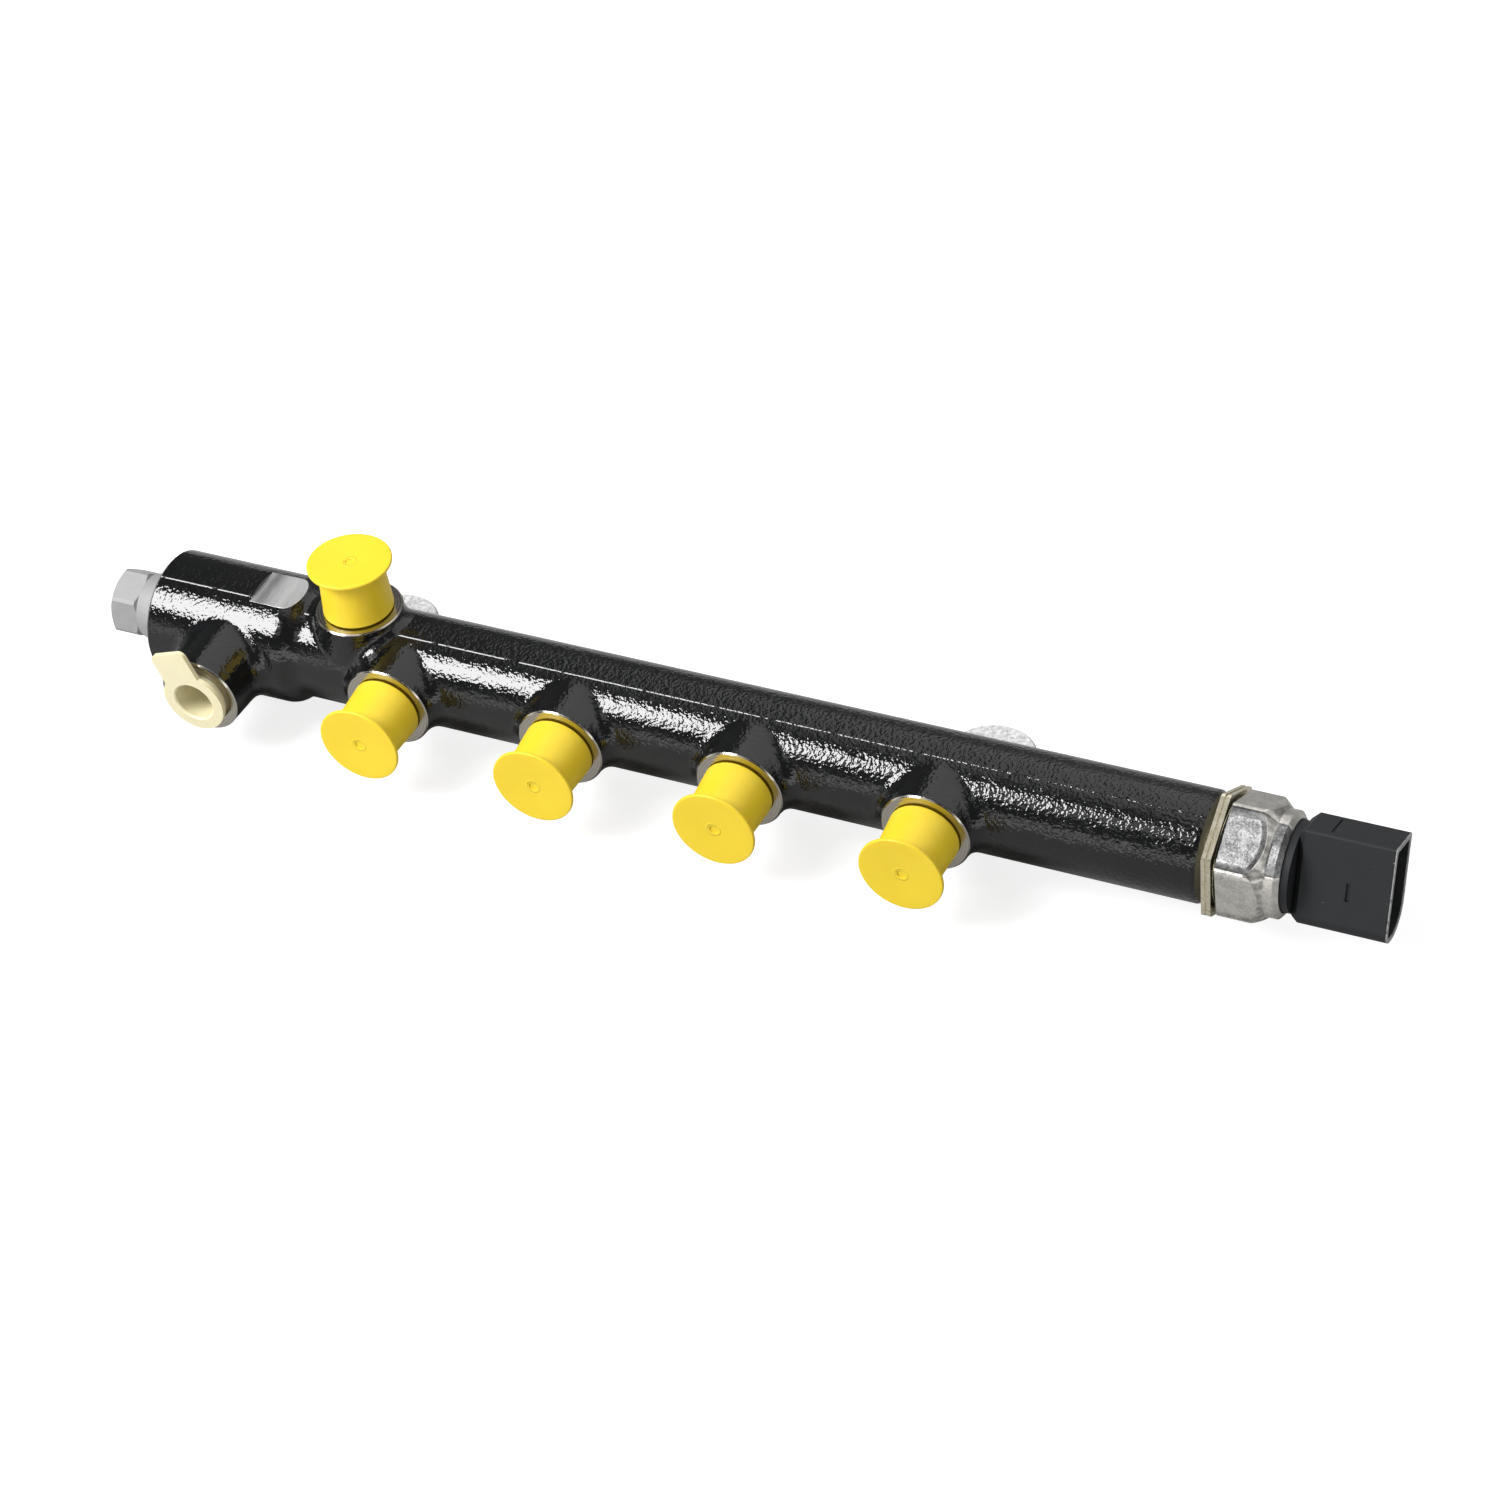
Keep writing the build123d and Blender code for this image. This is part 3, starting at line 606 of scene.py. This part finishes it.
# %% Rubber, carrier and board
rubber = moulded("black_rubber", grey(0.022), grey(0.014), grain=0.3, haze=0.55, depth=0.01)
dress(["relief_valve_o_ring", "sensor_seal_ring"], rubber)
carrier = moulded("dark_carrier", grey(0.08), grey(0.06), grain=0.3, haze=0.5, depth=0.01)
dress(["sensor_board_carrier"], carrier)
laminate = moulded(
    "green_laminate", (0.02, 0.16, 0.06, 1), (0.015, 0.12, 0.05, 1),
    grain=0.4, haze=0.35, depth=0.01,
)
dress(["sensor_circuit_board"], laminate)

# %% [markdown]
# Gloss paint shows the room that it stands in. This one is dim, with two pale areas: a band low in
# front, like the edge of a table, which brightens to the right, and a wall high behind, from the
# left of the middle to the right. Both are steps of the direction in which the world is seen. An
# even white world would leave the black paint grey and flat.

# %% Room round the object
world = bpy.data.worlds.new("studio")
scene.world = world
world.use_nodes = True
sky = Shading(world.node_tree)
direction = sky.node("ShaderNodeTexCoord", {}, {}, "Generated")
parts = (sky.node("ShaderNodeSeparateXYZ", {}, {0: direction}, axis) for axis in "XYZ")
sideways, inwards, upwards = parts
ahead = sky.step(inwards, -0.3, 0.1, 1.0, 0.0)
low = sky.step(upwards, 0.06, 0.38, 1.0, 0.0)
high = sky.step(upwards, 0.25, 0.60, 0.12, 1.0)
wall_behind = (1 - ahead) * high * sky.step(sideways, -0.45, -0.30, 0.0, 1.10)
band_in_front = ahead * low * sky.step(sideways, -0.45, -0.28, 1.2, 2.0)
room = 0.10 + band_in_front + wall_behind
print("nodes of the room:", len(sky.tree.nodes))

# %% [markdown]
# The photograph was taken on white. Camera and transmission rays see a plain white of strength 1,
# and every other ray sees the room, so the light on the object stays at a plain level. The
# Standard view shows colours as they are written.

# %% White background
scene.view_settings.view_transform = "Standard"
in_view = sky.node("ShaderNodeLightPath", {}, {}, "Is Camera Ray")
through = sky.node("ShaderNodeLightPath", {}, {}, "Is Transmission Ray")
white = in_view | through
background = {"Color": grey(1.0), "Strength": room * (1 - white) + white}
studio = sky.node("ShaderNodeBackground", {}, background)
sky.tree.links.new(studio.socket, sky.tree.nodes["World Output"].inputs[0])
print("nodes of the world:", len(sky.tree.nodes))

# %% [markdown]
# The floor is a plain pale card just under the lug seats. It takes the soft shadow of the rail,
# and a glow that only the camera sees lifts it towards the white of the photograph without
# lighting the object. A white card alone would throw its light up under the black paint.

# %% Floor
HALF_CARD = 4
UNDER_SEATS = -0.0005
corners = [(-1, -1), (1, -1), (1, 1), (-1, 1)]
card = bpy.data.meshes.new("floor")
card.from_pydata([(HALF_CARD * x, HALF_CARD * y, 0) for x, y in corners], [], [(0, 1, 2, 3)])
floor = bpy.data.objects.new("floor", card)
scene.collection.objects.link(floor)
floor.location = (0, 0, UNDER_SEATS)
print("floor at", floor.location.z, "m")

# %% [markdown]
# The card's material adds a camera-only glow to a plain diffuse grey. The glow is an Emission
# whose strength is the Is Camera Ray output, so no other ray meets it.

# %% Pale floor
pale = bpy.data.materials.new("pale_floor")
pale.use_nodes = True
paper = Shading(pale.node_tree)
paper.tree.nodes.remove(paper.tree.nodes["Principled BSDF"])
matt = paper.node("ShaderNodeBsdfDiffuse", {}, {"Color": grey(0.38)})
camera_ray = paper.node("ShaderNodeLightPath", {}, {}, "Is Camera Ray")
glow = paper.node("ShaderNodeEmission", {}, {"Strength": camera_ray * 0.80})
both = paper.node("ShaderNodeAddShader", {}, {0: matt, 1: glow})
paper.tree.links.new(both.socket, paper.tree.nodes["Material Output"].inputs[0])
card.materials.append(pale)
print("floor dressed with", pale.name)

# %% [markdown]
# A softbox above the left front draws the broad highlight along the tube, and a weak one more to
# the middle carries it on to the right. The softbox's place follows from the mirror direction of
# that highlight on the round tube in the photograph, and it is tilted to slant as the highlight
# does. A sun or a small lamp would give the paint hard points of light.

# %% Lights
MIDDLE = Vector((0.0, -0.02, 0.02))


def soft_light(name, towards, along, across, radiance, tilt=0.0):
    """A rectangle of light a metre from the rail's middle, its long side level or tilted."""
    lamp = bpy.data.lights.new(name, "AREA")
    lamp.shape = "RECTANGLE"
    lamp.size = along
    lamp.size_y = across
    lamp.energy = radiance * pi * along * across
    held = bpy.data.objects.new(name, lamp)
    scene.collection.objects.link(held)
    away = Vector(towards).normalized()
    side = (Vector((1, 0, 0)) - away * away.x).normalized()
    level = Matrix.Translation(MIDDLE + away) @ turned_to(side, away.cross(side), away)
    held.matrix_world = level @ Matrix.Rotation(radians(-tilt), 4, "Z")
    print(name, "gives", round(lamp.energy, 2), "W")


soft_light("front_softbox", (-0.510, -0.470, 0.720), 0.48, 0.46, radiance=20.0, tilt=20.0)
soft_light("front_fill", (-0.10, -0.61, 0.78), 0.6, 0.36, radiance=1.0)

# %% [markdown]
